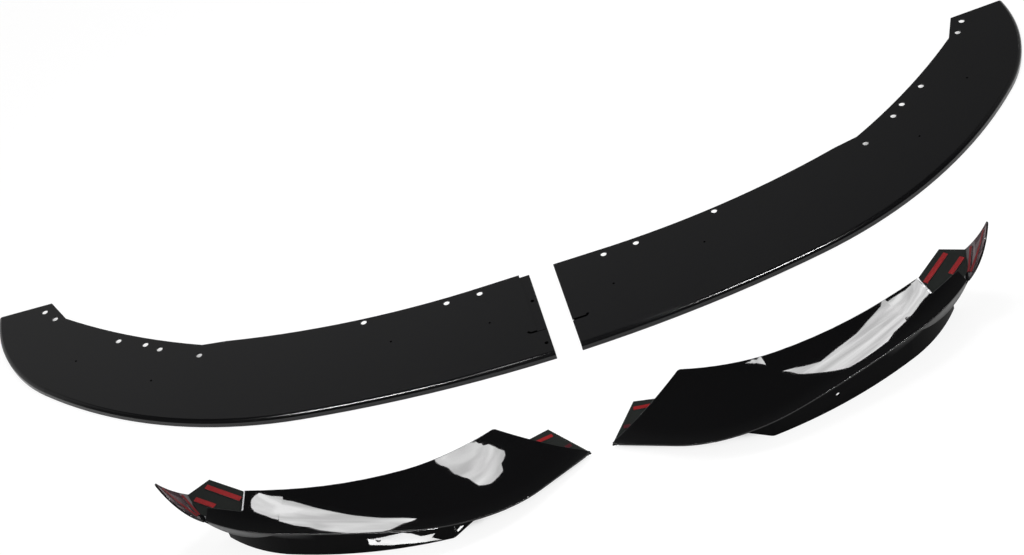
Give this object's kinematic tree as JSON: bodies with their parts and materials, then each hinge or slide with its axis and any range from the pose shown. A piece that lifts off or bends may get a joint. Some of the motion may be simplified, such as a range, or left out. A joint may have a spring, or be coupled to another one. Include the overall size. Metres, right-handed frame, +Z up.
{
  "type": "front splitter lip",
  "caption": "Front splitter lip kit laid out flat: curved lower blades with screw holes, and glossy dished corner blades with skirts, leaning end fins and red-lined tape strips.",
  "frame": {"origin": "middle of the laid-out kit's footprint, on the floor", "axes": "+X to the car's right along the width, +Y to the rear of the car, +Z up; the corner blades lie in front of the lower blades"},
  "size_m": [1.7554, 0.7358, 0.121],
  "materials": {
    "satin_black": "satin black moulded plastic",
    "gloss_black": "high-gloss piano black",
    "tape_foam": "dark closed-cell foam",
    "tape_liner": "red release film"
  },
  "bodies": {
    "root": {"lower_blade_left": "satin_black", "lower_blade_right": "satin_black", "corner_blade_left": "gloss_black", "corner_blade_right": "gloss_black", "foam_tab_rear_left": "tape_foam", "liner_tab_rear_left": "tape_liner", "foam_tab_rear_right": "tape_foam", "liner_tab_rear_right": "tape_liner", "foam_tab_front_left": "tape_foam", "liner_tab_front_left": "tape_liner", "foam_tab_front_right": "tape_foam", "liner_tab_front_right": "tape_liner", "foam_fin_long_left": "tape_foam", "liner_fin_long_left": "tape_liner", "foam_fin_long_right": "tape_foam", "liner_fin_long_right": "tape_liner", "foam_fin_low_left": "tape_foam", "liner_fin_low_left": "tape_liner", "foam_fin_low_right": "tape_foam", "liner_fin_low_right": "tape_liner", "foam_inner_rear_left": "tape_foam", "liner_inner_rear_left": "tape_liner", "foam_inner_rear_right": "tape_foam", "liner_inner_rear_right": "tape_liner", "foam_inner_tip_left": "tape_foam", "liner_inner_tip_left": "tape_liner", "foam_inner_tip_right": "tape_foam", "liner_inner_tip_right": "tape_liner"}
  },
  "joints": []
}
